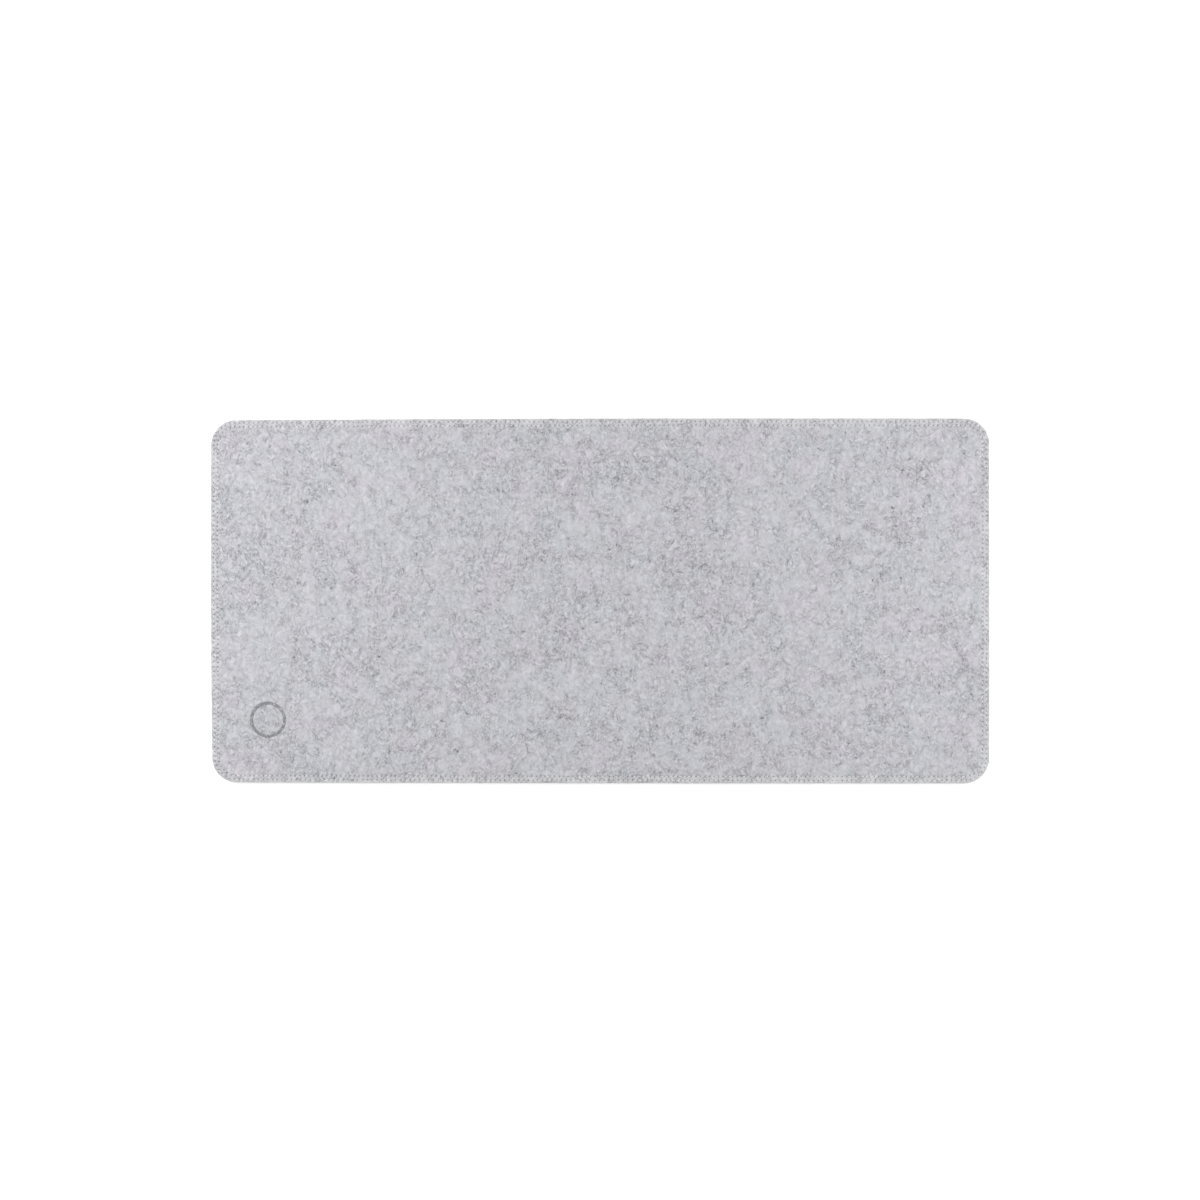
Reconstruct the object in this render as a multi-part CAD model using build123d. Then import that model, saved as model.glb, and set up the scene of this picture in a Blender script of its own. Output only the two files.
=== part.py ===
from build123d import *

import os

# A felt desk mat: a felt sheet bonded to a thin rubber base, sewn through with two rows of lockstitch that
# run round the border, and a heat-pressed ring in the front left corner. It lies on its base.
# +X runs along the long side to the right, +Y along the short side away from the user, +Z up.
# The origin is the middle of the underside. All sizes are in millimetres.

# The sheets
MAT_LENGTH = 640.0
MAT_WIDTH = 300.0
CORNER_RADIUS = 20.5
BASE_THICKNESS = 0.9
FILM_THICKNESS = 0.1
FELT_THICKNESS = 3.0
FELT_EDGE_RADIUS = 0.5

# The two rows of lockstitch, measured from the cut edge to the middle of the thread
OUTER_ROW_INSET = 2.35
INNER_ROW_INSET = 5.6
THREAD_DIAMETER = 0.6

# The ring in the corner, measured from the left and front edges to its centre
MARK_FROM_LEFT = 46.4
MARK_FROM_FRONT = 51.9
MARK_DIAMETER = 30.0
MARK_STROKE = 2.8
MARK_THICKNESS = 0.15

# Heights of the faces, from the underside up
FILM_BOTTOM = BASE_THICKNESS
FELT_BOTTOM = FILM_BOTTOM + FILM_THICKNESS
MAT_TOP = FELT_BOTTOM + FELT_THICKNESS


def outline(inset=0.0):
    """The mat's rounded rectangle, drawn inset inside the cut edge."""
    return RectangleRounded(MAT_LENGTH - 2 * inset, MAT_WIDTH - 2 * inset, CORNER_RADIUS - inset)


def sheet(bottom, thickness):
    """A full-size sheet of the laminate, from its bottom face up."""
    return Pos(0, 0, bottom) * extrude(outline(), thickness)


def thread_channel(inset, bottom):
    """The closed channel that a row's thread pulls into a sheet, as wide and as deep as the thread."""
    half = THREAD_DIAMETER / 2
    band = outline(inset - half) - outline(inset + half)
    return Pos(0, 0, bottom) * extrude(band, THREAD_DIAMETER)


def thread(inset, bottom):
    """One thread of a row, a closed round cord that fills its channel up to the sheet's face."""
    half = THREAD_DIAMETER / 2
    path = Pos(0, 0, bottom + half) * outline(inset).face().outer_wire()
    section = Plane(origin=path @ 0, z_dir=path % 0) * Circle(half)
    return sweep(section, path=path)


def mark_ring():
    """The ring transfer, pressed in until it is flush with the felt."""
    centre_x = MARK_FROM_LEFT - MAT_LENGTH / 2
    centre_y = MARK_FROM_FRONT - MAT_WIDTH / 2
    ring = Circle(MARK_DIAMETER / 2) - Circle(MARK_DIAMETER / 2 - MARK_STROKE)
    return Pos(centre_x, centre_y, MAT_TOP - MARK_THICKNESS) * extrude(ring, MARK_THICKNESS)


def felt_top():
    """The felt sheet: its upper edge rounded, with the two channels and the mark's recess in its top."""
    felt = sheet(FELT_BOTTOM, FELT_THICKNESS)
    upper_edge = felt.faces().sort_by(Axis.Z)[-1].edges()
    felt = fillet(upper_edge, FELT_EDGE_RADIUS)
    for inset in (OUTER_ROW_INSET, INNER_ROW_INSET):
        felt -= thread_channel(inset, MAT_TOP - THREAD_DIAMETER)
    return felt - mark_ring()


def rubber_base():
    """The rubber sheet, with the two bobbin threads' channels in its underside."""
    base = sheet(0, BASE_THICKNESS)
    for inset in (OUTER_ROW_INSET, INNER_ROW_INSET):
        base -= thread_channel(inset, 0)
    return base


parts = {
    "felt_top": felt_top(),
    "bonding_film": sheet(FILM_BOTTOM, FILM_THICKNESS),
    "rubber_base": rubber_base(),
    "corner_mark": mark_ring(),
}
for row, row_inset in (("outer", OUTER_ROW_INSET), ("inner", INNER_ROW_INSET)):
    parts[f"{row}_needle_thread"] = thread(row_inset, MAT_TOP - THREAD_DIAMETER)
    parts[f"{row}_bobbin_thread"] = thread(row_inset, 0)

os.makedirs("parts", exist_ok=True)
for node, shape in parts.items():
    shape.label = node
    export_step(shape, f"parts/{node}.step")
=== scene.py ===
import math

import bmesh
import bpy
import numpy as np
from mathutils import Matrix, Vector
from mathutils.geometry import delaunay_2d_cdt


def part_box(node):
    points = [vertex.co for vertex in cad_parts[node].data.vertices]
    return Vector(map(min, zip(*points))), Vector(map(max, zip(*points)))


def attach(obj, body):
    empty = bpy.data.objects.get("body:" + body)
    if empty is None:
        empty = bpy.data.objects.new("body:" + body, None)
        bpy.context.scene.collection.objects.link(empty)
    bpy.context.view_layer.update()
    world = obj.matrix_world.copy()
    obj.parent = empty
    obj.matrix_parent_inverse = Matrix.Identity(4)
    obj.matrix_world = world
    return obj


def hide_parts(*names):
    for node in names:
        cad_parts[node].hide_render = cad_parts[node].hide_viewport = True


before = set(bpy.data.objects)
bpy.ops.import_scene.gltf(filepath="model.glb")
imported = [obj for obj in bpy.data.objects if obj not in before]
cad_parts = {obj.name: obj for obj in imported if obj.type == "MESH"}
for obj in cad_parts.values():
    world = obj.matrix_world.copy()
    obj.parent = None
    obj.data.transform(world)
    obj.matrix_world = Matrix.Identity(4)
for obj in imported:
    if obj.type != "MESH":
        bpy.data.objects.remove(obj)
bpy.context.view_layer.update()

# A stitched felt desk mat, seen from straight above on a white table.
# Lengths are in metres. The nodes of a material work in millimetres of the object's own space.

MM = 0.001

# The laminate, from the CAD model's boxes
FELT_LOW, FELT_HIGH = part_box("felt_top")
FILM_LOW, FILM_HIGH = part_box("bonding_film")
BASE_LOW, BASE_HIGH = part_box("rubber_base")
HALF_X, HALF_Y = FELT_HIGH.x, FELT_HIGH.y
CORNER_RADIUS = 20.5 * MM
CORE_X, CORE_Y = HALF_X - CORNER_RADIUS, HALF_Y - CORNER_RADIUS
CORNERS = np.array([[CORE_X, CORE_Y], [-CORE_X, CORE_Y], [-CORE_X, -CORE_Y], [CORE_X, -CORE_Y]])

# The cut isn't quite true: each side bows in by depth times the square of the distance from its crest.
# Along a side, places run from -1 at one end to 1 at the other.
BACK_BOW = {"crest": 0.5, "depth": 0.7 * MM}
FRONT_BOW = {"crest": 0.7, "depth": 0.32 * MM}
LEFT_BOW = {"crest": 0.3, "depth": 0.8 * MM}
RIGHT_BOW = {"crest": 0.0, "depth": 0.25 * MM}

# The two rows of lockstitch
ROWS = {
    "outer": {"node": "outer_needle_thread", "stitches": 468, "seed": 11, "slack_seed": 16},
    "inner": {"node": "inner_needle_thread", "stitches": 482, "seed": 12, "slack_seed": 17},
}
THREAD_RADIUS = 0.3 * MM
FEED_UNEVENNESS = 0.07  # of a stitch
# The point attribute below carries painted shade: the felt's and the threads' materials darken where it is
# high
HOLE_SHADE_ATTRIBUTE = "pull"  # names the point attribute that is 1 in a needle hole and 0 away from it

# The ring in the front left corner
MARK_LOW, MARK_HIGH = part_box("corner_mark")
MARK_CENTRE = np.array([(MARK_LOW.x + MARK_HIGH.x) / 2, (MARK_LOW.y + MARK_HIGH.y) / 2])
MARK_RADIUS = (MARK_HIGH.x - MARK_LOW.x) / 2
MARK_STROKE = 2.8 * MM
MARK_PRESS = 0.16 * MM  # how deep the hot press sank the felt


# ---------------------------------------------------------------- the outline and the rows


def ring_length(inset):
    """The length round the outline, drawn inset inside the cut edge."""
    return 4 * (CORE_X + CORE_Y) + 2 * math.pi * (CORNER_RADIUS - inset)


def on_ring(arc, inset):
    """Points and outward normals at these lengths along the outline drawn inset inside the cut edge."""
    radius = CORNER_RADIUS - inset
    straights = 2 * np.array([CORE_Y, CORE_X, CORE_Y, CORE_X])
    starts = np.concatenate([[0], np.cumsum(straights + math.pi / 2 * radius)])
    arc = np.mod(arc, starts[-1])
    side = np.clip(np.searchsorted(starts, arc, side="right") - 1, 0, 3)
    along = arc - starts[side]
    square = side * math.pi / 2
    angle = square + np.clip(along - straights[side], 0, None) / radius
    normal = np.stack([np.cos(angle), np.sin(angle)], axis=1)
    forward = np.stack([-np.sin(square), np.cos(square)], axis=1)
    ahead = np.clip(straights[side] - along, 0, None)
    return CORNERS[side] - forward * ahead[:, None] + normal * radius, normal


def edge_distance(points):
    """How far inside the cut edge each point lies."""
    beyond = np.abs(points) - [CORE_X, CORE_Y]
    past_core = np.linalg.norm(np.clip(beyond, 0, None), axis=1)
    return CORNER_RADIUS - np.where(past_core > 0, past_core, beyond.max(axis=1))


def bowed(points):
    """The same points on the mat as it was cut, its sides bowed a little."""
    u, v = points[:, 0] / HALF_X, points[:, 1] / HALF_Y

    def bow(share, side):
        return side["depth"] * (share - side["crest"]) ** 2

    inward_x = np.where(u > 0, bow(v, RIGHT_BOW), -bow(v, LEFT_BOW)) * np.abs(u)
    inward_y = np.where(v > 0, bow(u, BACK_BOW), -bow(u, FRONT_BOW)) * np.abs(v)
    return points - np.stack([inward_x, inward_y], axis=1)


def row_inset(row):
    """How far inside the cut edge a row's thread runs, from the CAD thread."""
    return HALF_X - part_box(row["node"])[1].x + THREAD_RADIUS


def needle_holes(row):
    """The lengths along a row at which the needle went through."""
    count = row["stitches"]
    drift = np.random.default_rng(row["seed"]).uniform(-FEED_UNEVENNESS, FEED_UNEVENNESS, count)
    return (np.arange(count) + drift) * ring_length(row_inset(row)) / count


def stitch_lengths(row):
    """The length of each stitch, from its needle hole to the next."""
    holes = needle_holes(row)
    return np.append(holes[1:], holes[0] + ring_length(row_inset(row))) - holes


NOISE_LATTICE = 512


def smooth_noise(points, wavelength, seed):
    """Smooth random heights from -1 to 1 over the plane, about one swell in each wavelength."""
    lattice = np.random.default_rng(seed).uniform(-1, 1, (NOISE_LATTICE, NOISE_LATTICE))
    place = points / wavelength + NOISE_LATTICE / 2
    cell = np.floor(place).astype(int)
    share = place - cell
    share = share * share * (3 - 2 * share)
    x, y = (cell % (NOISE_LATTICE - 1)).T
    low = lattice[x, y] * (1 - share[:, 0]) + lattice[x + 1, y] * share[:, 0]
    high = lattice[x, y + 1] * (1 - share[:, 0]) + lattice[x + 1, y + 1] * share[:, 0]
    return low * (1 - share[:, 1]) + high * share[:, 1]


def waves(points, kinds):
    """The sum of smooth swells, each given by its height, wavelength and seed."""
    return sum(height * smooth_noise(points, wavelength, seed) for height, wavelength, seed in kinds)


# ---------------------------------------------------------------- tools for materials


class Graph:
    """A material's node tree. Each call adds a node and returns its output."""

    def __init__(self, name):
        self.material = bpy.data.materials.new(name)
        self.material.use_nodes = True
        self.tree = self.material.node_tree
        self.shader = self.tree.nodes["Principled BSDF"]

    def feed(self, socket, value):
        """Gives an input a number, a vector or another node's output."""
        if isinstance(value, bpy.types.NodeSocket):
            self.tree.links.new(value, socket)
        else:
            socket.default_value = value

    def node(self, kind, values, **settings):
        """A node of this kind, with its inputs' values by name or number."""
        node = self.tree.nodes.new(kind)
        for name, value in settings.items():
            setattr(node, name, value)
        for key, value in values.items():
            self.feed(node.inputs[key], value)
        return node

    def math(self, operation, a, b=0.0, clamp=False):
        """An operation on numbers."""
        return self.node("ShaderNodeMath", {0: a, 1: b}, operation=operation, use_clamp=clamp).outputs[0]

    def vector(self, operation, a, b=(0.0, 0.0, 0.0)):
        """An operation on vectors."""
        return self.node("ShaderNodeVectorMath", {0: a, 1: b}, operation=operation).outputs[0]

    def scaled(self, a, factor):
        """A vector times a number."""
        return self.node("ShaderNodeVectorMath", {0: a, "Scale": factor}, operation="SCALE").outputs[0]

    def turned(self, place, angle):
        """The place turned about Z."""
        values = {"Vector": place, "Angle": angle}
        return self.node("ShaderNodeVectorRotate", values, rotation_type="Z_AXIS").outputs[0]

    def weighted(self, parts):
        """The sum of pairs of a number and its weight."""
        terms = [self.math("MULTIPLY", part, weight) for part, weight in parts]
        return self.total(terms)

    def total(self, values):
        """The sum of several numbers."""
        result = values[0]
        for value in values[1:]:
            result = self.math("ADD", result, value)
        return result

    def position(self):
        """The point's place in the object, in millimetres."""
        return self.scaled(self.node("ShaderNodeTexCoord", {}).outputs["Object"], 1 / MM)

    def pull(self):
        """How near a needle hole the point is, from the mesh: where the painted shade of the holes falls.
        """
        return self.node("ShaderNodeAttribute", {}, attribute_name=HOLE_SHADE_ATTRIBUTE).outputs["Fac"]

    def noise_node(self, place, wavelength, seed, detail=0.0):
        """Noise with swells of this length and, where detail is more than 0, finer ones in them."""
        values = {"Vector": place, "W": seed, "Scale": 1 / wavelength, "Detail": detail}
        return self.node("ShaderNodeTexNoise", values, noise_dimensions="4D")

    def noise(self, place, wavelength, seed, detail=0.0):
        """Noise about 0.5, as a number."""
        return self.noise_node(place, wavelength, seed, detail).outputs[0]

    def jostled(self, place, wavelength, reach, seed):
        """The place moved about by up to half the reach, smoothly."""
        swirl = self.noise_node(place, wavelength, seed).outputs[1]
        push = self.vector("SUBTRACT", swirl, (0.5, 0.5, 0.5))
        return self.vector("ADD", place, self.scaled(push, reach))

    def step(self, value, low, high, from_zero=0.0, to_one=1.0):
        """A smooth step from one value at low to another at high."""
        values = {"Value": value, "From Min": low, "From Max": high, "To Min": from_zero, "To Max": to_one}
        return self.node("ShaderNodeMapRange", values, interpolation_type="SMOOTHSTEP").outputs[0]

    def blend(self, factor, a, b):
        """A blend of two numbers."""
        return self.node("ShaderNodeMix", {0: factor, 2: a, 3: b}, data_type="FLOAT").outputs[0]

    def mix(self, factor, a, b):
        """A blend of two colours."""
        return self.node("ShaderNodeMix", {0: factor, 6: a, 7: b}, data_type="RGBA").outputs[2]

    def bump(self, height, distance):
        """A normal that tilts as if the surface rose by the height times the distance."""
        return self.node("ShaderNodeBump", {"Height": height, "Distance": distance}).outputs[0]

    def finish(self, colour, roughness, normal=None):
        """The material, with these outputs on its shader."""
        self.feed(self.shader.inputs["Base Color"], colour)
        self.feed(self.shader.inputs["Roughness"], roughness)
        if normal is not None:
            self.feed(self.shader.inputs["Normal"], normal)
        return self.material


def srgb(red, green, blue):
    """A colour given as 0 to 255 on a screen, as the shader's linear colour."""
    def linear(level):
        share = level / 255
        return share / 12.92 if share <= 0.04045 else ((share + 0.055) / 1.055) ** 2.4
    return (linear(red), linear(green), linear(blue), 1.0)


# ---------------------------------------------------------------- tools for meshes


def add_piece(name, points, faces, material, node):
    """A smooth closed mesh piece that rides on the mat and stands for a CAD node."""
    mesh = bpy.data.meshes.new(name)
    mesh.from_pydata(points.tolist(), [], faces)
    mesh.validate()
    mesh.polygons.foreach_set("use_smooth", [True] * len(mesh.polygons))
    mesh.materials.append(material)
    piece = bpy.data.objects.new(name, mesh)
    bpy.context.collection.objects.link(piece)
    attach(piece, "root")
    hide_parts(node)
    turn_outward(mesh)
    return piece


def turn_outward(mesh):
    """Turns all faces of a closed mesh to face out."""
    edited = bmesh.new()
    edited.from_mesh(mesh)
    bmesh.ops.recalc_face_normals(edited, faces=edited.faces)
    edited.to_mesh(mesh)
    edited.free()


def give_hole_shade(piece, first, values):
    """Gives a piece's points their painted hole shade, from the first one named, for its material to read.
    """
    every = np.zeros(len(piece.data.vertices))
    every[first:first + len(values)] = values
    piece.data.attributes.new(HOLE_SHADE_ATTRIBUTE, "FLOAT", "POINT").data.foreach_set("value", every)


def band_faces(loop, following):
    """Faces between a closed loop of point numbers and the next one."""
    return np.column_stack([loop, following, np.roll(following, -1), np.roll(loop, -1)]).tolist()


def tube_faces(near, far):
    """Faces between each ring of a tube's point numbers and the next ring along it."""
    quads = np.stack([near, np.roll(near, -1, -1), np.roll(far, -1, -1), far], axis=-1)
    return quads.reshape(-1, 4).tolist()


FILL_INSIDE = 1  # delaunay_2d_cdt keeps the triangles inside the rim
FILL_TOLERANCE = 1e-4  # in millimetres


def filled(rim, inner):
    """Triangles over the points inside a rim. The rim's points come first, in their order."""
    points = np.concatenate([rim, inner])
    count = len(rim)
    loop = [(i, (i + 1) % count) for i in range(count)]
    _, _, triangles, origins, _, _ = delaunay_2d_cdt(
        [Vector(p) for p in (points / MM).tolist()], loop, [], FILL_INSIDE, FILL_TOLERANCE, True
    )
    origin = [source[0] for source in origins]
    return points, [tuple(origin[i] for i in triangle) for triangle in triangles]


SCATTER = (0.15, 0.85)  # of a square each way, so that no two points come too close


def scattered(spacing, half_x, half_y, seed, centre=(0.0, 0.0)):
    """Points over a rectangle, one at random in each square of a grid."""
    rng = np.random.default_rng(seed)
    xs = np.arange(-half_x, half_x, spacing)
    ys = np.arange(-half_y, half_y, spacing)
    grid = np.stack(np.meshgrid(xs, ys, indexing="ij"), axis=-1).reshape(-1, 2)
    return grid + rng.uniform(*SCATTER, grid.shape) * spacing + np.array(centre)


def unit(vectors):
    """The same directions, one long."""
    return vectors / np.linalg.norm(vectors, axis=-1)[..., None]


# ---------------------------------------------------------------- the sheets' shape

RIM_SPACING = 1.2 * MM
CUT_MARGIN = 0.1 * MM  # the ragged cut lies this far inside the CAD outline on average
CUT_WAVES = (  # height, wavelength and seed
    (0.07 * MM, 2.5 * MM, 31),
    (0.1 * MM, 9 * MM, 32),
)
PLAIN_FACE = {"spacing": 14 * MM, "margin": 6 * MM, "seed": 24}

# Mesh points round a needle hole and across the groove between two holes
HOLE_RINGS = (0.25 * MM, 0.5 * MM, 0.85 * MM)
HOLE_CORNERS = 8
BETWEEN_HOLES = (0.36, 0.5, 0.64)
ACROSS_GROOVE = (-0.75 * MM, -0.38 * MM, 0.0, 0.38 * MM, 0.75 * MM)

# Mesh points over the rest of the border
BORDER_WIDTH = 9 * MM
BORDER_SPACING = 1.25 * MM
BORDER_SEED = 21
RIM_CLEARANCE = 0.5 * MM
ROW_CLEARANCE = 1.2 * MM


def row_points(row):
    """A row's mesh points round and between its needle holes, and each one's distance from its hole."""
    inset, holes = row_inset(row), needle_holes(row)
    centre, normal = on_ring(holes, inset)
    along = np.stack([-normal[:, 1], normal[:, 0]], axis=1)
    points, distances = [centre], [np.zeros(len(holes))]
    for radius in HOLE_RINGS:
        for corner in range(HOLE_CORNERS):
            angle = 2 * math.pi * (corner + 0.5) / HOLE_CORNERS
            points.append(centre + radius * (math.cos(angle) * along + math.sin(angle) * normal))
            distances.append(np.full(len(holes), radius))
    for share in BETWEEN_HOLES:
        middle, normal = on_ring(holes + share * stitch_lengths(row), inset)
        for offset in ACROSS_GROOVE:
            points.append(middle + normal * offset)
            distances.append(np.full(len(holes), np.inf))
    return np.concatenate(points), np.concatenate(distances)


def face_points(rim_inset, field):
    """Mesh points for a sheet's detailed face inside its rim, and each one's distance from its hole.
    The field's points are used inside the border."""
    border = scattered(BORDER_SPACING, HALF_X, HALF_Y, BORDER_SEED)
    depth = edge_distance(border)
    keep = (depth > rim_inset + RIM_CLEARANCE) & (depth < BORDER_WIDTH)
    for row in ROWS.values():
        keep &= np.abs(depth - row_inset(row)) > ROW_CLEARANCE
    plain = np.concatenate([border[keep], field[edge_distance(field) > BORDER_WIDTH]])
    rows = [row_points(row) for row in ROWS.values()]
    points = np.concatenate([points for points, _ in rows] + [plain])
    distances = np.concatenate([gaps for _, gaps in rows] + [np.full(len(plain), np.inf)])
    return points, distances


def hole_pull(hole_distance, radius):
    """1 in a needle hole, falling to 0 round it."""
    return np.exp(-((hole_distance / radius) ** 2))


def row_drop(points, hole_distance, groove, hole):
    """How far the stitches pull a sheet's face in at each point."""
    depth = edge_distance(points)
    drop = hole["depth"] * hole_pull(hole_distance, hole["radius"])
    for row in ROWS.values():
        drop += groove["depth"] * np.exp(-(((depth - row_inset(row)) / groove["width"]) ** 2))
    return drop


def rim_lengths():
    """Lengths along the cut edge of a sheet's rim points."""
    count = round(ring_length(0) / RIM_SPACING)
    return np.arange(count) * ring_length(0) / count


def plain_face(rim):
    """The points inside a sheet's plain face and its triangles, the rim's points first."""
    inner = scattered(PLAIN_FACE["spacing"], HALF_X, HALF_Y, PLAIN_FACE["seed"])
    inner = inner[edge_distance(inner) > PLAIN_FACE["margin"]]
    _, triangles = filled(rim, inner)
    return inner, triangles


def sheet_piece(name, plain_z, face_z, profile, points, drop, material, node):
    """A closed sheet between a plain face and a detailed one. The profile is the edge's loops, from the
    detailed face's rim to the plain face: how far inside the cut and how far from the detailed face."""
    cut, normal = on_ring(rim_lengths(), 0)
    count = len(cut)
    side = 1 if face_z > plain_z else -1
    flat, faces = filled(cut - normal * profile[0][0], points)
    height = np.concatenate([np.zeros(count), drop])
    vertices = [np.column_stack([bowed(flat), face_z - side * height])]

    ragged = waves(cut, CUT_WAVES)
    loop = np.arange(count)
    made = len(flat)
    for inset, below in profile[1:]:
        moved = bowed(cut - normal * (inset + CUT_MARGIN + ragged)[:, None])
        vertices.append(np.column_stack([moved, np.full(count, face_z - side * below)]))
        following = made + np.arange(count)
        faces += band_faces(loop, following)
        loop = following
        made += count

    inner, triangles = plain_face(cut - normal * profile[-1][0])
    vertices.append(np.column_stack([bowed(inner), np.full(len(inner), plain_z)]))
    numbers = np.concatenate([loop, made + np.arange(len(inner))])
    faces += [tuple(int(numbers[i]) for i in reversed(triangle)) for triangle in triangles]
    return add_piece(name, np.concatenate(vertices), faces, material, node)


# ---------------------------------------------------------------- the felt

FELT_RIM = 0.45 * MM
FELT_PROFILE = (
    (FELT_RIM, 0.0),
    (0.2 * MM, 0.06 * MM),
    (0.05 * MM, 0.22 * MM),
    (0.0, 0.5 * MM),
    (0.0, 1.6 * MM),
    (0.0, 2.7 * MM),
    (0.05 * MM, FELT_HIGH.z - FELT_LOW.z),
)
FELT_GROOVE = {"depth": 0.12 * MM, "width": 0.6 * MM}
FELT_HOLE = {"depth": 1.0 * MM, "radius": 0.42 * MM}
# How far round a needle hole the felt's painted shade reaches
FELT_HOLE_SHADE_RADIUS = 0.5 * MM
FELT_WAVES = (  # height, wavelength and seed
    (0.05 * MM, 5 * MM, 41),
    (0.07 * MM, 14 * MM, 42),
)
FELT_FIELD = {"spacing": 2.2 * MM, "seed": 22}
MARK_FIELD = {"spacing": 0.6 * MM, "seed": 23, "reach": MARK_RADIUS + 4 * MM, "gap": 0.5 * MM}

# The pressed groove reaches past the ring's stroke by a margin, and its walls are soft
PRESS_MARGIN = 0.35 * MM
PRESS_SOFTNESS = 0.16 * MM

# The felt's fibres, in millimetres. Noise is drawn out to a length along a fibre and a width across it, and
# a fibre lies where the noise is within thickness of its middle value. Each kind is laid in count
# directions, and weighs on the felt's darkness as given.
FIBRES = {
    "fine": {"count": 5, "length": 3.2, "width": 1.3, "thickness": 0.1, "seed": 10.0, "darkness": 0.09},
    "long": {"count": 3, "length": 6.5, "width": 2.2, "thickness": 0.08, "seed": 30.0, "darkness": 0.12},
    "pale": {"count": 4, "length": 4.5, "width": 0.7, "thickness": 0.1, "seed": 50.0, "darkness": -0.12},
    "dark": {"count": 3, "length": 4.0, "width": 0.5, "thickness": 0.09, "seed": 110.0, "darkness": 0.13},
}
FIRST_DIRECTION = 0.3  # in radians from X
FELT_GRAIN = (1.06, 0.95, 2.5)  # the fibres run a little more along Y, and lie in thin layers
CLOUDS = ((5.0, 0.38), (10.0, 0.54), (20.0, 0.34), (45.0, 0.14), (90.0, 0.05))  # wavelength and weight
CLOUD_SEED = 70.0
CUT_GRAIN = (0.5, 0.5, 3.0)  # the layers are long and thin on the cut side
CUT_SHARE = 0.75  # of the cut side's look in its layers, the rest in the melange

# The felt's light colours over its field and along its border, its dark one, and how far towards the dark
# one each thing takes it
FELT_COOL = srgb(215.5, 217, 222)
FELT_WARM = srgb(218.5, 216, 222)
FELT_BORDER = srgb(226, 226, 229)
FELT_DARK = srgb(108, 108, 114)
BORDER_FADE = (2.0, 8.0)  # in millimetres from the cut edge
GROUND_DARKNESS = 0.16
CLOUD_DARKNESS = 0.38
GRAIN_DARKNESS = 0.71
SPECK_DARKNESS = 0.42
# Painted shade in and round the needle holes
HOLE_PAINTED_SHADE = 0.22


def strands(graph, place, angle, kind, seed):
    """Broken wavy fibres that run mostly one way: 1 on a fibre, 0 between."""
    length, width = kind["length"], kind["width"]
    drawn_out = graph.vector("MULTIPLY", graph.turned(place, angle), (1 / length, 1 / width, 1 / width))
    level = graph.math("ABSOLUTE", graph.math("SUBTRACT", graph.noise(drawn_out, 1.0, seed), 0.5))
    line = graph.step(level, 0.0, kind["thickness"], 1.0, 0.0)
    unbroken = graph.step(graph.noise(place, 0.8 * length, seed + 0.5), 0.46, 0.6)
    return graph.math("MULTIPLY", line, unbroken)


def fibres(graph, place, kind):
    """The fibres of one kind, laid in several directions."""
    turn = math.pi / kind["count"]
    directions = [FIRST_DIRECTION + turn * i for i in range(kind["count"])]
    return graph.total(
        [strands(graph, place, angle, kind, kind["seed"] + 3 * i) for i, angle in enumerate(directions)]
    )


def felt_clouds(graph, place):
    """Where the melange's dyed fibres crowd together, about 0."""
    return graph.weighted(
        [(graph.math("SUBTRACT", graph.noise(place, wavelength, CLOUD_SEED + i), 0.5), weight)
         for i, (wavelength, weight) in enumerate(CLOUDS)]
    )


def felt_melange(graph, position):
    """How dark the melange is at a place, from 0 to 1, and the height of its fibres."""
    layered = graph.vector("MULTIPLY", position, FELT_GRAIN)
    curved = graph.jostled(layered, wavelength=7.0, reach=5.0, seed=1.3)
    place = graph.jostled(curved, wavelength=2.2, reach=1.6, seed=2.7)
    laid = {name: fibres(graph, place, kind) for name, kind in FIBRES.items()}
    grain = graph.math("SUBTRACT", graph.noise(place, wavelength=1.6, seed=90.0), 0.5)
    specks = graph.step(graph.noise(place, wavelength=2.6, seed=97.0), 0.75, 0.83)
    marks = graph.weighted(
        [(laid[name], kind["darkness"]) for name, kind in FIBRES.items()]
        + [(grain, GRAIN_DARKNESS), (specks, SPECK_DARKNESS)]
    )
    clouds = felt_clouds(graph, place)
    ground = graph.math("ADD", graph.math("MULTIPLY", clouds, CLOUD_DARKNESS), GROUND_DARKNESS)
    crowding = graph.step(clouds, -0.13, 0.14, 0.3, 1.15)
    darkness = graph.math("ADD", ground, graph.math("MULTIPLY", marks, crowding))
    hairs = graph.math("ADD", laid["pale"], laid["dark"])
    return darkness, graph.math("SUBTRACT", hairs, graph.math("MULTIPLY", laid["fine"], 0.25))


ANY_HEIGHT = 1000.0  # in millimetres, so that a place's height doesn't count


def edge_band(graph, position):
    """1 along the cut edge, falling to 0 past the inner row of stitches."""
    core = (CORE_X / MM, CORE_Y / MM, ANY_HEIGHT)
    beyond = graph.vector("SUBTRACT", graph.vector("ABSOLUTE", position), core)
    past_core = graph.vector("MAXIMUM", beyond, (0.0, 0.0, 0.0))
    reach = graph.node("ShaderNodeVectorMath", {0: past_core}, operation="LENGTH").outputs["Value"]
    return graph.step(graph.math("SUBTRACT", CORNER_RADIUS / MM, reach), *BORDER_FADE, 1.0, 0.0)


def cut_side(graph):
    """How much of the layered look a place gets: most on a sheet's cut side, falling to 0 over its rim."""
    normal = graph.node("ShaderNodeTexCoord", {}).outputs["Normal"]
    upright = graph.math("ABSOLUTE", graph.node("ShaderNodeSeparateXYZ", {0: normal}).outputs["Z"])
    return graph.step(upright, 0.3, 0.8, CUT_SHARE, 0.0)


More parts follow.
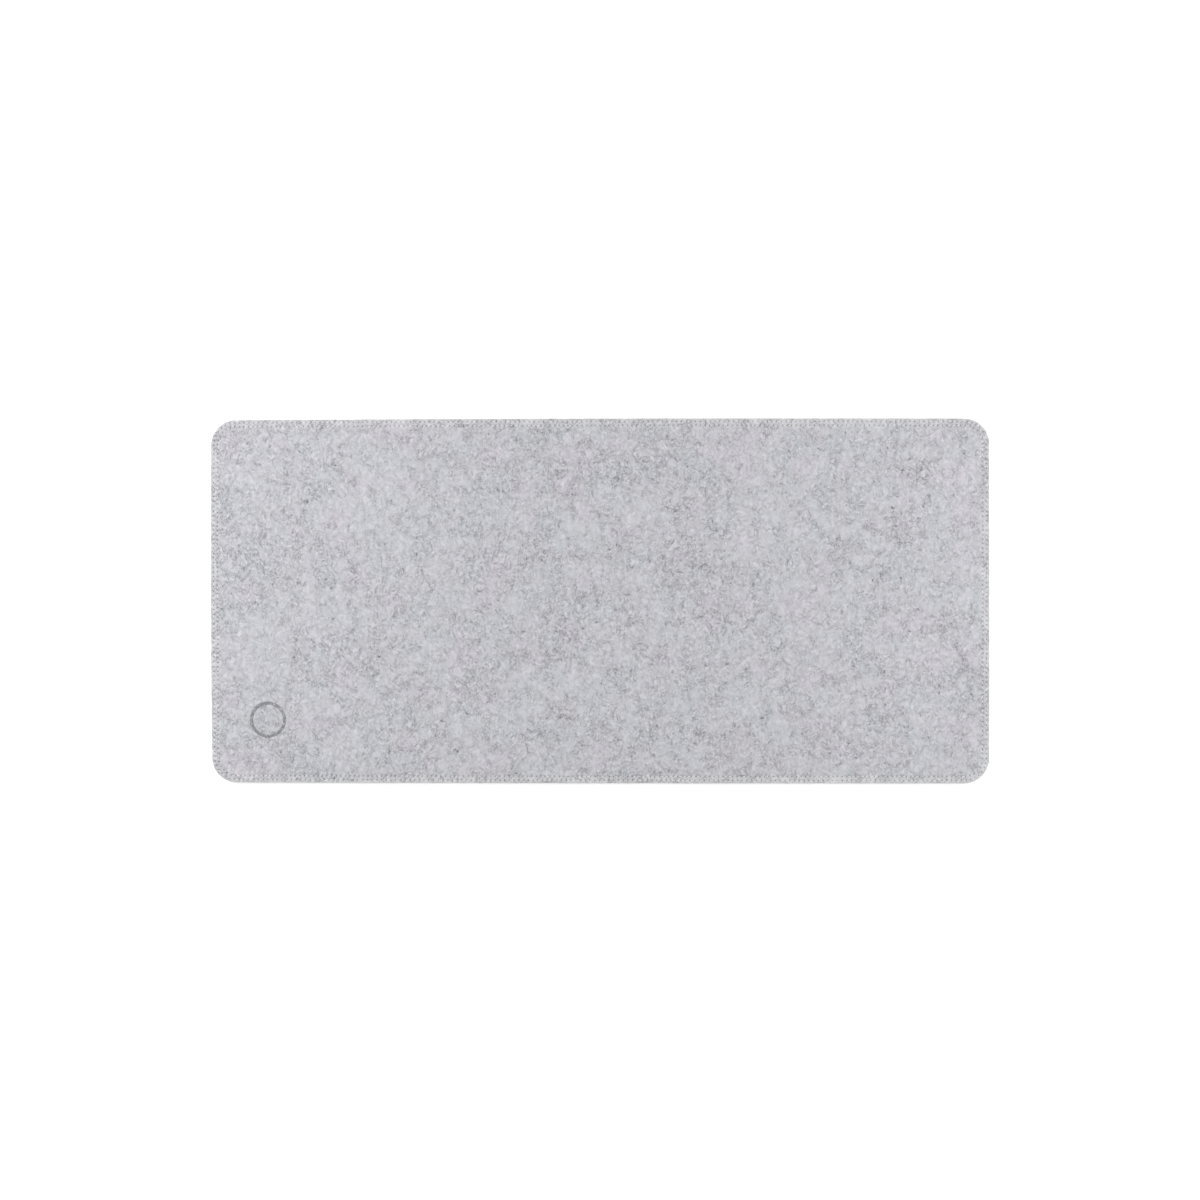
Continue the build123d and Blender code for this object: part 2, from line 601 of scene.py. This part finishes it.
def cut_layers(graph, position):
    """How dark the felt's cut side is, in thin layers with fibre ends in them, and its height."""
    flattened = graph.vector("MULTIPLY", position, CUT_GRAIN)
    layers = graph.noise(flattened, wavelength=1.0, seed=130.0, detail=4.0)
    bands = graph.step(layers, 0.32, 0.7, 0.08, 0.62)
    ends = graph.step(graph.noise(position, wavelength=0.45, seed=131.0, detail=1.0), 0.6, 0.72)
    darkness = graph.math("ADD", bands, graph.math("MULTIPLY", ends, 0.25))
    return darkness, graph.math("MULTIPLY", layers, 1.6)


def felt_material():
    """Melange felt: pale fibres with darker ones among them, clouded, layered where it is cut, and with
    painted shade in its needle holes.
    """
    graph = Graph("melange_felt")
    position = graph.position()
    top_darkness, top_relief = felt_melange(graph, position)
    cut_darkness, cut_relief = cut_layers(graph, position)
    cut = cut_side(graph)
    darkness = graph.blend(cut, top_darkness, cut_darkness)
    relief = graph.blend(cut, top_relief, cut_relief)
    # Painted shade: the felt is darker in and round its needle holes
    shaded = graph.math("ADD", darkness, graph.math("MULTIPLY", graph.pull(), HOLE_PAINTED_SHADE), clamp=True)
    warmth = graph.step(graph.noise(position, wavelength=22.0, seed=95.0, detail=2.0), 0.3, 0.7)
    light = graph.mix(edge_band(graph, position), graph.mix(warmth, FELT_COOL, FELT_WARM), FELT_BORDER)
    graph.shader.inputs["Sheen Weight"].default_value = 0.15
    graph.shader.inputs["Sheen Roughness"].default_value = 0.6
    graph.shader.inputs["Specular IOR Level"].default_value = 0.15
    return graph.finish(graph.mix(shaded, light, FELT_DARK), 0.95, graph.bump(relief, 0.1 * MM))


def felt_swell(points):
    """The felt's own gentle unevenness at each point."""
    return waves(points, FELT_WAVES)


def pressed(points):
    """How far the hot press sank the felt round and under the ring at each point."""
    gap = np.abs(np.linalg.norm(points - MARK_CENTRE, axis=1) - (MARK_RADIUS - MARK_STROKE / 2))
    return MARK_PRESS / (1 + np.exp((gap - MARK_STROKE / 2 - PRESS_MARGIN) / PRESS_SOFTNESS))


def felt_field():
    """Points over the felt, close together round the ring."""
    field = scattered(FELT_FIELD["spacing"], HALF_X, HALF_Y, FELT_FIELD["seed"])
    reach = MARK_FIELD["reach"]
    fine = scattered(MARK_FIELD["spacing"], reach, reach, MARK_FIELD["seed"], MARK_CENTRE)
    outside = np.linalg.norm(field - MARK_CENTRE, axis=1) >= reach
    inside = np.linalg.norm(fine - MARK_CENTRE, axis=1) < reach - MARK_FIELD["gap"]
    return np.concatenate([field[outside], fine[inside]])


def make_felt():
    """The felt sheet, pulled in along its stitches and pressed in round the ring."""
    points, gaps = face_points(FELT_RIM, felt_field())
    drop = row_drop(points, gaps, FELT_GROOVE, FELT_HOLE) + felt_swell(points) + pressed(points)
    felt = sheet_piece(
        "felt_sheet", FELT_LOW.z, FELT_HIGH.z, FELT_PROFILE, points, drop,
        felt_material(), "felt_top",
    )
    # The painted shade round the needle holes, for the felt's material
    give_hole_shade(felt, len(rim_lengths()), hole_pull(gaps, FELT_HOLE_SHADE_RADIUS))


# ---------------------------------------------------------------- the film

FILM_PROFILE = (
    (0.25 * MM, 0.0),
    (0.2 * MM, 0.02 * MM),
    (0.2 * MM, 0.08 * MM),
    (0.25 * MM, FILM_HIGH.z - FILM_LOW.z),
)
FILM_FIELD = {"spacing": 12 * MM, "margin": 5 * MM, "seed": 61}


def film_material():
    """Hot-melt film: milky, with flow marks."""
    graph = Graph("hot_melt_film")
    flow = graph.noise(graph.position(), wavelength=3.0, seed=5.5, detail=3.0)
    colour = graph.mix(graph.step(flow, 0.3, 0.7), srgb(214, 212, 200), srgb(186, 183, 170))
    roughness = graph.step(flow, 0.3, 0.7, 0.35, 0.55)
    return graph.finish(colour, roughness, graph.bump(flow, 0.02 * MM))


def make_film():
    """The film sheet, cut with the felt and the base."""
    points = scattered(FILM_FIELD["spacing"], HALF_X, HALF_Y, FILM_FIELD["seed"])
    points = points[edge_distance(points) > FILM_FIELD["margin"]]
    film = sheet_piece(
        "film_sheet", FILM_LOW.z, FILM_HIGH.z, FILM_PROFILE, points, np.zeros(len(points)),
        film_material(), "bonding_film",
    )


# ---------------------------------------------------------------- the base

BASE_RIM = 0.3 * MM
BASE_PROFILE = (
    (BASE_RIM, 0.0),
    (0.08 * MM, 0.05 * MM),
    (0.0, 0.2 * MM),
    (0.0, 0.7 * MM),
    (0.03 * MM, BASE_HIGH.z - BASE_LOW.z),
)
BASE_GROOVE = {"depth": 0.3 * MM, "width": 0.5 * MM}
BASE_HOLE = {"depth": 0.3 * MM, "radius": 0.34 * MM}

# The grip pattern: square swells that fade out before the stitches
GRIP_PITCH = 8 * MM
GRIP_DEPTH = 0.3 * MM
GRIP_MARGIN = 8 * MM
GRIP_FADE = 3 * MM
POINTS_A_SWELL = 4

LATTICE_SCALE = 0.31  # of the wave texture, for a ridge every millimetre


def rubber_material():
    """Foamed rubber with the fine lattice of its mould on it."""
    graph = Graph("base_rubber")
    position = graph.position()
    ridges = []
    for angle in (math.pi / 4, -math.pi / 4):
        values = {"Vector": graph.turned(position, angle), "Scale": LATTICE_SCALE}
        ridges.append(graph.node("ShaderNodeTexWave", values, bands_direction="X").outputs[1])
    lattice = graph.math("MAXIMUM", *ridges)
    pores = graph.noise(position, wavelength=0.5, seed=6.2, detail=2.0)
    bloom = graph.noise(position, wavelength=40.0, seed=8.8, detail=3.0)
    shade = graph.weighted([(pores, 0.35), (bloom, 0.65)])
    colour = graph.mix(graph.step(shade, 0.35, 0.65), srgb(54, 55, 58), srgb(68, 69, 72))
    height = graph.math("ADD", lattice, graph.math("MULTIPLY", pores, 0.5))
    roughness = graph.step(pores, 0.35, 0.65, 0.72, 0.9)
    graph.shader.inputs["Specular IOR Level"].default_value = 0.35
    return graph.finish(colour, roughness, graph.bump(height, 0.2 * MM))


def grip_field():
    """A square grid with a few points in each swell of the base's grip pattern."""
    spacing = GRIP_PITCH / POINTS_A_SWELL
    xs = spacing * np.arange(-round(HALF_X / spacing), round(HALF_X / spacing))
    ys = spacing * np.arange(-round(HALF_Y / spacing), round(HALF_Y / spacing))
    return np.stack(np.meshgrid(xs, ys, indexing="ij"), axis=-1).reshape(-1, 2)


def grip_pattern(points):
    """How far the grip pattern's hollows sink at each point."""
    phase = 2 * math.pi * points / GRIP_PITCH
    swell = np.sin(phase[:, 0]) * np.sin(phase[:, 1])
    fade = np.clip((edge_distance(points) - GRIP_MARGIN) / GRIP_FADE, 0, 1)
    return GRIP_DEPTH * fade * (0.5 + 0.5 * swell)


def make_base():
    """The rubber sheet, with its grip pattern and its stitches on the underside."""
    points, gaps = face_points(BASE_RIM, grip_field())
    drop = row_drop(points, gaps, BASE_GROOVE, BASE_HOLE) + grip_pattern(points)
    base = sheet_piece(
        "rubber_sheet", BASE_HIGH.z, BASE_LOW.z, BASE_PROFILE, points, drop,
        rubber_material(), "rubber_base",
    )


# ---------------------------------------------------------------- the threads

# Shares of a stitch at which its thread has a ring of points: close together by a hole up to the middle,
# and the same in reverse up to the next hole
HALF_STITCH = np.array([0.0, 0.035, 0.075, 0.125, 0.19, 0.28, 0.39, 0.5])
STITCH_STEPS = np.concatenate([HALF_STITCH, 1 - HALF_STITCH[-2:0:-1]])
PLY_RADIUS = 0.14 * MM
PLY_OFFSET = 0.16 * MM
THREAD_CORNERS = 12
TWIST_LENGTH = 2.6 * MM  # along the thread for one whole turn of its three plies

# The needle thread on top and the bobbin thread below: the height of its crest, the way it stands out, how
# it dives into each hole, how unevenly it is pulled tight and how far it lies aslant
NEEDLE = {"crest": FELT_HIGH.z - 0.15 * MM, "side": 1,
          "depth": 1.2 * MM, "width": 0.5 * MM, "slack": 0.05 * MM, "slant": 0.12 * MM}
BOBBIN = {"crest": BASE_LOW.z + 0.32 * MM, "side": -1,
          "depth": 0.5 * MM, "width": 0.42 * MM, "slack": 0.02 * MM, "slant": 0.1 * MM}
SUNK_WIDTH = 1.1  # of a dive's width, over which its thread is shaded by the hole
# The colour of the painted shade on a thread where it dives into a hole
THREAD_HOLE_SHADE = srgb(118, 118, 122)
FILAMENT_GRAIN = (6.0, 6.0, 14.0)  # finest over the thread's height


def thread_material(name, light, dark):
    """Spun polyester: fine filaments along the plies, a slight mottle, and painted shade where it dives
    into a hole.
    """
    graph = Graph(name)
    position = graph.position()
    drawn_out = graph.vector("MULTIPLY", position, FILAMENT_GRAIN)
    filaments = graph.noise(drawn_out, wavelength=1.0, seed=3.1, detail=2.0)
    mottle = graph.noise(position, wavelength=8.0, seed=4.4)
    shade = graph.weighted([(filaments, 0.4), (mottle, 0.6)])
    colour = graph.mix(graph.step(shade, 0.38, 0.62), light, dark)
    # Painted shade: darker where the thread dives into a hole
    colour = graph.mix(graph.math("MULTIPLY", graph.pull(), 0.5), colour, THREAD_HOLE_SHADE)
    roughness = graph.step(filaments, 0.3, 0.7, 0.5, 0.7)
    return graph.finish(colour, roughness, graph.bump(filaments, 0.03 * MM))


def three_ply(angle):
    """The radius of a three-ply thread's outline at an angle round it."""
    ply = 2 * math.pi / 3
    off = np.abs(np.mod(angle + ply / 2, ply) - ply / 2)
    return PLY_OFFSET * np.cos(off) + np.sqrt(PLY_RADIUS**2 - (PLY_OFFSET * np.sin(off)) ** 2)


def thread_line(row, thread):
    """A thread's middle over all its stitches: the points, the outward normals, the lengths along the row
    and how far each point is sunk in a hole, from 0 to 1, which sets its painted shade."""
    holes, lengths = needle_holes(row), stitch_lengths(row)
    arc = (holes[:, None] + STITCH_STEPS * lengths[:, None]).ravel()
    to_hole = np.minimum(STITCH_STEPS, 1 - STITCH_STEPS) * lengths[:, None]
    slack = np.random.default_rng(row["slack_seed"]).uniform(-1, 1, len(holes))[:, None]
    height = -thread["depth"] * np.exp(-((to_hole / thread["width"]) ** 2)) + thread["slack"] * slack
    slant = np.tile(thread["slant"] * np.sin(2 * math.pi * STITCH_STEPS), len(holes))
    middle, normal = on_ring(arc, row_inset(row))
    plane = bowed(middle + normal * slant[:, None])
    line = np.column_stack([plane, thread["crest"] + thread["side"] * height.ravel()])
    sunk = np.exp(-((to_hole / (SUNK_WIDTH * thread["width"])) ** 2)).ravel()
    return line, normal, arc, sunk


def stitch_piece(name, row, thread, material, node):
    """One thread of a row: a closed twisted cord that lies along each stitch and dives into each hole."""
    line, normal, arc, sunk = thread_line(row, thread)
    ahead = unit(np.roll(line, -1, axis=0) - np.roll(line, 1, axis=0))
    above = unit(np.cross(ahead, np.column_stack([normal, np.zeros(len(normal))])))
    across = np.cross(above, ahead)
    length = ring_length(row_inset(row))
    turns = round(length / TWIST_LENGTH)
    around = 2 * math.pi * np.arange(THREAD_CORNERS) / THREAD_CORNERS
    radius = three_ply(around + 2 * math.pi * turns * arc[:, None] / length)
    points = (
        line[:, None, :]
        + (radius * np.cos(around))[..., None] * across[:, None, :]
        + (radius * np.sin(around))[..., None] * above[:, None, :]
    ).reshape(-1, 3)
    rings = np.arange(len(points)).reshape(-1, THREAD_CORNERS)
    faces = tube_faces(rings, np.roll(rings, -1, 0))
    piece = add_piece(name, points, faces, material, node)
    # The painted shade where the thread dives into its holes
    give_hole_shade(piece, 0, np.repeat(sunk, THREAD_CORNERS))


def make_threads():
    """A needle thread and a bobbin thread for each row."""
    above = thread_material("needle_thread", srgb(242, 242, 242), srgb(206, 206, 208))
    below = thread_material("bobbin_thread", srgb(190, 190, 193), srgb(160, 160, 164))
    for name, row in ROWS.items():
        needle, bobbin = f"{name}_needle", f"{name}_bobbin"
        stitch_piece(f"{needle}_stitches", row, NEEDLE, above, f"{needle}_thread")
        stitch_piece(f"{bobbin}_stitches", row, BOBBIN, below, f"{bobbin}_thread")


# ---------------------------------------------------------------- the ring

RING_STEPS = 260  # round the ring
RING_BANDS = 8  # across its stroke
RING_MARGIN = 0.1 * MM  # the outline lies this far inside the pressed stroke on average
RING_RAGGEDNESS = 0.09 * MM
RING_WAVES = ((1.3 * MM, 51), (1.2 * MM, 52))  # wavelength and seed of the outer and the inner edge
RING_BELOW = 0.05 * MM  # how far its underside reaches into the felt
RING_RIM_HEIGHT = 0.03 * MM
RING_CROWN = 0.05 * MM  # how much higher its middle stands than its rim
RING_ROUNDING = 1 / 6  # of the stroke, over which the film rises from its rim


def print_material():
    """Grey transfer film that the felt's fibres break through here and there."""
    graph = Graph("transfer_print")
    position = graph.position()
    darkness, relief = felt_melange(graph, position)
    wear = graph.noise(position, wavelength=1.1, seed=9.9, detail=4.0)
    worn = graph.math("ADD", wear, graph.math("MULTIPLY", relief, 0.06))
    through = graph.step(graph.math("SUBTRACT", worn, graph.math("MULTIPLY", darkness, 0.3)), 0.52, 0.62)
    blotches = graph.noise(position, wavelength=2.2, seed=7.7, detail=2.0)
    ink = graph.mix(blotches, srgb(122, 124, 127), srgb(152, 154, 157))
    felt = graph.mix(darkness, srgb(205, 205, 210), srgb(120, 120, 125))
    return graph.finish(graph.mix(through, ink, felt), 0.7, graph.bump(relief, 0.08 * MM))


def ring_plane():
    """The ring's points in plan, row by row round it and from its inner to its outer edge, and each one's
    share of the way across."""
    angle = 2 * math.pi * np.arange(RING_STEPS) / RING_STEPS
    direction = np.stack([np.cos(angle), np.sin(angle)], axis=1)
    outer_wave, inner_wave = (
        RING_RAGGEDNESS * smooth_noise(direction * MARK_RADIUS, wavelength, seed)
        for wavelength, seed in RING_WAVES
    )
    outer = MARK_RADIUS - RING_MARGIN + outer_wave
    inner = MARK_RADIUS - MARK_STROKE + RING_MARGIN + inner_wave
    share = np.linspace(0, 1, RING_BANDS + 1)
    radius = inner[:, None] * (1 - share) + outer[:, None] * share
    plane = (MARK_CENTRE + radius[..., None] * direction[:, None, :]).reshape(-1, 2)
    return plane, np.tile(share, RING_STEPS)


def ring_faces():
    """Faces of the ring's upper and lower side and of its two edges."""
    index = np.arange(RING_STEPS * (RING_BANDS + 1)).reshape(RING_STEPS, RING_BANDS + 1)
    ahead = np.roll(index, -1, 0)
    lower = index.size
    cell = np.stack([index[:, :-1], index[:, 1:], ahead[:, 1:], ahead[:, :-1]], axis=-1).reshape(-1, 4)
    faces = cell.tolist() + (cell + lower).tolist()
    for edge in (0, RING_BANDS):
        here, there = index[:, edge], ahead[:, edge]
        faces += np.stack([here, there, there + lower, here + lower], axis=-1).tolist()
    return faces


def make_ring():
    """The transfer: a thin ring that follows the felt, with an uneven outline."""
    plane, share = ring_plane()
    felt_height = FELT_HIGH.z - felt_swell(plane) - pressed(plane)
    film = RING_RIM_HEIGHT + RING_CROWN * np.clip(np.minimum(share, 1 - share) / RING_ROUNDING, 0, 1)
    top = np.column_stack([bowed(plane), felt_height + film])
    bottom = np.column_stack([bowed(plane), felt_height - RING_BELOW])
    points = np.concatenate([top, bottom])
    add_piece("ring_print", points, ring_faces(), print_material(), "corner_mark")


# ---------------------------------------------------------------- the loose fibres

FIBRE_STEPS = 6
FIBRE_CORNERS = 3
FIBRE_RADIUS = 0.03 * MM
TAPER = (0.12, 0.88)  # the part of a sine's swell that a fibre's thickness follows

# Lying and standing fibres. Ranges are in millimetres and angles in radians.
LYING = {"count": 4200, "length": (1.5, 4.5), "bend": 1.6, "seed": 71}
LYING_ARCH = (0.05, 0.2)
LYING_MARGIN = 9 * MM  # from the cut edge
MARK_MARGIN = 4 * MM  # from the ring
LYING_DEPTH = 0.04 * MM  # of a lying fibre's ends in the felt
STANDING = {"count": 2400, "length": (0.5, 1.3), "bend": 1.2, "seed": 72}
STANDING_FAN = 1.2  # either side of straight out
STANDING_RISE = 0.3
STANDING_DEPTH = 0.35 * MM  # of a standing fibre's root in the cut
STANDING_ABOVE = 0.4 * MM  # over the felt's lower face
STANDING_BELOW = 0.5 * MM  # under its upper face


def loose_fibre_material():
    """Single fibres of the melange: most of them white, some dark grey."""
    graph = Graph("loose_fibre")
    position = graph.position()
    dyed = graph.step(graph.noise(position, wavelength=4.0, seed=120.0), 0.56, 0.6)
    shade = graph.noise(position, wavelength=0.8, seed=121.0)
    colour = graph.mix(dyed, srgb(222, 222, 224), srgb(96, 96, 101))
    colour = graph.mix(graph.math("MULTIPLY", shade, 0.3), colour, srgb(170, 170, 174))
    return graph.finish(colour, 0.7, graph.bump(shade, 0.01 * MM))


def fibre_piece(name, plane, height, material):
    """Loose fibres, each a thin tapered tube along one of the lines of points."""
    lines = np.concatenate([plane, height[..., None]], axis=-1)
    ahead = np.gradient(lines, axis=1)
    across = unit(np.stack([-ahead[..., 1], ahead[..., 0], np.zeros(ahead.shape[:2])], axis=-1))
    up = np.array([0.0, 0.0, 1.0])
    taper = FIBRE_RADIUS * np.sin(math.pi * np.linspace(*TAPER, FIBRE_STEPS))[:, None]
    corners = []
    for corner in range(FIBRE_CORNERS):
        angle = 2 * math.pi * (corner + 0.25) / FIBRE_CORNERS
        corners.append(lines + taper * (math.cos(angle) * across + math.sin(angle) * up))
    points = np.stack(corners, axis=2).reshape(-1, 3)
    rings = np.arange(len(points)).reshape(len(lines), FIBRE_STEPS, FIBRE_CORNERS)
    sides = tube_faces(rings[:, :-1], rings[:, 1:])
    ends = np.concatenate([rings[:, 0, ::-1], rings[:, -1]]).tolist()
    add_piece(name, points, sides + ends, material, "felt_top")


def curled(rng, starts, headings, kind):
    """Lines of points that set off from each start and bend steadily."""
    lengths = rng.uniform(*kind["length"], len(starts)) * MM
    bends = rng.normal(0, kind["bend"], len(starts))
    heading = headings[:, None] + bends[:, None] * np.linspace(0, 1, FIBRE_STEPS)
    step = lengths[:, None] / (FIBRE_STEPS - 1)
    moves = np.stack([step * np.cos(heading), step * np.sin(heading)], axis=-1)
    return starts[:, None, :] + np.cumsum(moves, axis=1)


def lying_fibres(material):
    """Fibres that lie on the felt, with both ends worked into it."""
    rng = np.random.default_rng(LYING["seed"])
    reach = [HALF_X - LYING_MARGIN, HALF_Y - LYING_MARGIN]
    starts = rng.uniform(-1, 1, (LYING["count"], 2)) * reach
    starts = starts[np.linalg.norm(starts - MARK_CENTRE, axis=1) > MARK_RADIUS + MARK_MARGIN]
    headings = rng.uniform(0, 2 * math.pi, len(starts))
    flat = curled(rng, starts, headings, LYING)
    points = flat.reshape(-1, 2)
    felt_height = (FELT_HIGH.z - felt_swell(points)).reshape(flat.shape[:2])
    crests = rng.uniform(*LYING_ARCH, len(starts))[:, None] * MM
    arch = crests * np.sin(math.pi * np.linspace(0, 1, FIBRE_STEPS))
    plane = bowed(points).reshape(flat.shape)
    fibre_piece("lying_fibres", plane, felt_height - LYING_DEPTH + arch, material)


def edge_fibres(material):
    """Short fibres that stand out of the cut edge."""
    rng = np.random.default_rng(STANDING["seed"])
    count = STANDING["count"]
    cut, normal = on_ring(rng.uniform(0, ring_length(0), count), 0)
    fan = rng.uniform(-STANDING_FAN, STANDING_FAN, count)
    headings = np.arctan2(normal[:, 1], normal[:, 0]) + fan
    flat = curled(rng, bowed(cut - normal * STANDING_DEPTH), headings, STANDING)
    rises = rng.uniform(-STANDING_RISE, STANDING_RISE, count)[:, None] * MM
    roots = rng.uniform(FELT_LOW.z + STANDING_ABOVE, FELT_HIGH.z - STANDING_BELOW, count)[:, None]
    fibre_piece("edge_fibres", flat, roots + rises * np.linspace(0, 1, FIBRE_STEPS), material)


def make_loose_fibres():
    """The fibres that have come loose from the felt, on it and at its cut edge."""
    material = loose_fibre_material()
    lying_fibres(material)
    edge_fibres(material)


# ---------------------------------------------------------------- the table, the light and the camera

TABLE_HALF = 20.0
TABLE_GAP = 0.03 * MM  # keeps its face clear of the base's, because the renderer can't part two that touch
TABLE_GLOW = 0.35
WORLD_LIGHT = 0.72
SOFTBOX_SIZE = 0.5
SOFTBOXES = {
    "left_softbox": {"place": (-0.85, 0.25, 0.5), "power": 3.8},
    "right_softbox": {"place": (0.9, 0.1, 0.5), "power": 3.1},
}
PICTURE_WIDTH = 986.2 * MM
CAMERA_LENS = 200
SENSOR = 36
LOOK_AT = (-0.1 * MM, 0.75 * MM)


def make_table():
    """A white table top that gives a little light of its own, so that it stays white round the mat."""
    height = BASE_LOW.z - TABLE_GAP
    corners = [(x * TABLE_HALF, y * TABLE_HALF, height) for x, y in ((-1, -1), (1, -1), (1, 1), (-1, 1))]
    mesh = bpy.data.meshes.new("table_top")
    mesh.from_pydata(corners, [], [(0, 1, 2, 3)])
    graph = Graph("table_white")
    tint = graph.noise(graph.position(), wavelength=900.0, seed=1.0, detail=2.0)
    colour = graph.mix(tint, srgb(244, 244, 244), srgb(248, 248, 248))
    graph.shader.inputs["Emission Color"].default_value = (1, 1, 1, 1)
    graph.shader.inputs["Emission Strength"].default_value = TABLE_GLOW
    mesh.materials.append(graph.finish(colour, 0.9))
    table = bpy.data.objects.new("table_top", mesh)
    bpy.context.collection.objects.link(table)


def add_softbox(name, place, power):
    """A large soft lamp that faces the mat's middle."""
    lamp = bpy.data.lights.new(name, "AREA")
    lamp.size = SOFTBOX_SIZE
    lamp.energy = power
    softbox = bpy.data.objects.new(name, lamp)
    softbox.location = place
    softbox.rotation_euler = (-Vector(place)).to_track_quat("-Z", "Y").to_euler()
    bpy.context.collection.objects.link(softbox)


def light_studio():
    """White light from all round, and a soft lamp on either side."""
    scene = bpy.context.scene
    scene.view_settings.view_transform = "Standard"
    scene.world = bpy.data.worlds.new("studio")
    scene.world.use_nodes = True
    background = scene.world.node_tree.nodes["Background"]
    background.inputs["Color"].default_value = (1, 1, 1, 1)
    background.inputs["Strength"].default_value = WORLD_LIGHT
    for name, softbox in SOFTBOXES.items():
        add_softbox(name, softbox["place"], softbox["power"])


def place_camera():
    """A camera that looks straight down on the mat from far enough away to flatten it."""
    camera_data = bpy.data.cameras.new("camera")
    camera_data.lens = CAMERA_LENS
    camera_data.sensor_width = SENSOR
    camera = bpy.data.objects.new("camera", camera_data)
    distance = PICTURE_WIDTH * CAMERA_LENS / SENSOR
    camera.location = (*LOOK_AT, distance + FELT_HIGH.z)
    bpy.context.collection.objects.link(camera)
    bpy.context.scene.camera = camera


place_camera()
light_studio()
make_table()
make_base()
make_film()
make_felt()
make_threads()
make_ring()
make_loose_fibres()
